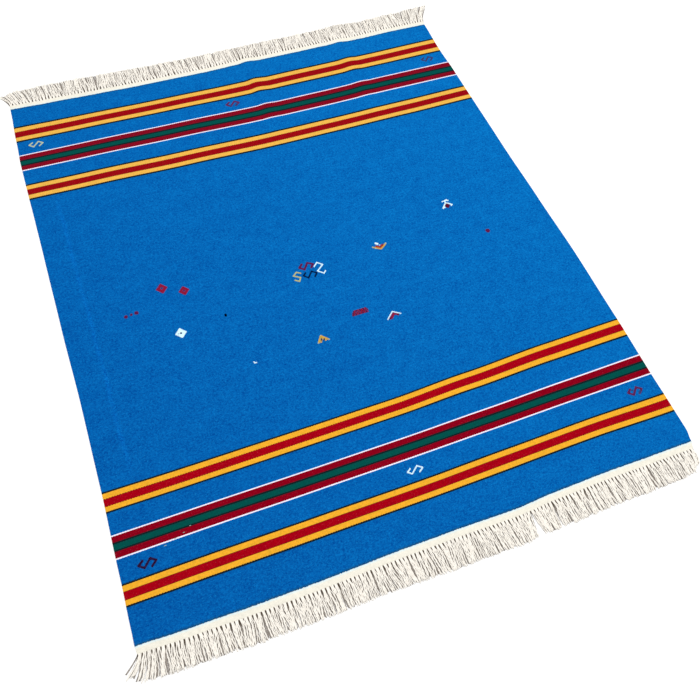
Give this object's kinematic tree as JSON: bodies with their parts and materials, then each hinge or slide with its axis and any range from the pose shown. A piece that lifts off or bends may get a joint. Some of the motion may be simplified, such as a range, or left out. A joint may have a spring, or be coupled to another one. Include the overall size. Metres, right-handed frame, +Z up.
{
  "type": "kilim rug",
  "caption": "Rectangular flat-woven wool rug lying flat, with narrow cream webs and a loose yarn fringe along both short ends.",
  "frame": {"origin": "on the floor under the middle of the rug, the bottom centre of its bounding box", "axes": "+X across the rug, +Y along it towards the far end, +Z up"},
  "size_m": [1.5675, 1.9665, 0.008],
  "materials": {
    "dyed_wool": "matte flat-woven wool, blue with bands of weft stripes",
    "cream_cotton": "matte unbleached cotton warp yarn, plied and crimped"
  },
  "bodies": {
    "root": {"field": "dyed_wool", "near_fringe": "cream_cotton", "far_fringe": "cream_cotton"}
  },
  "joints": []
}
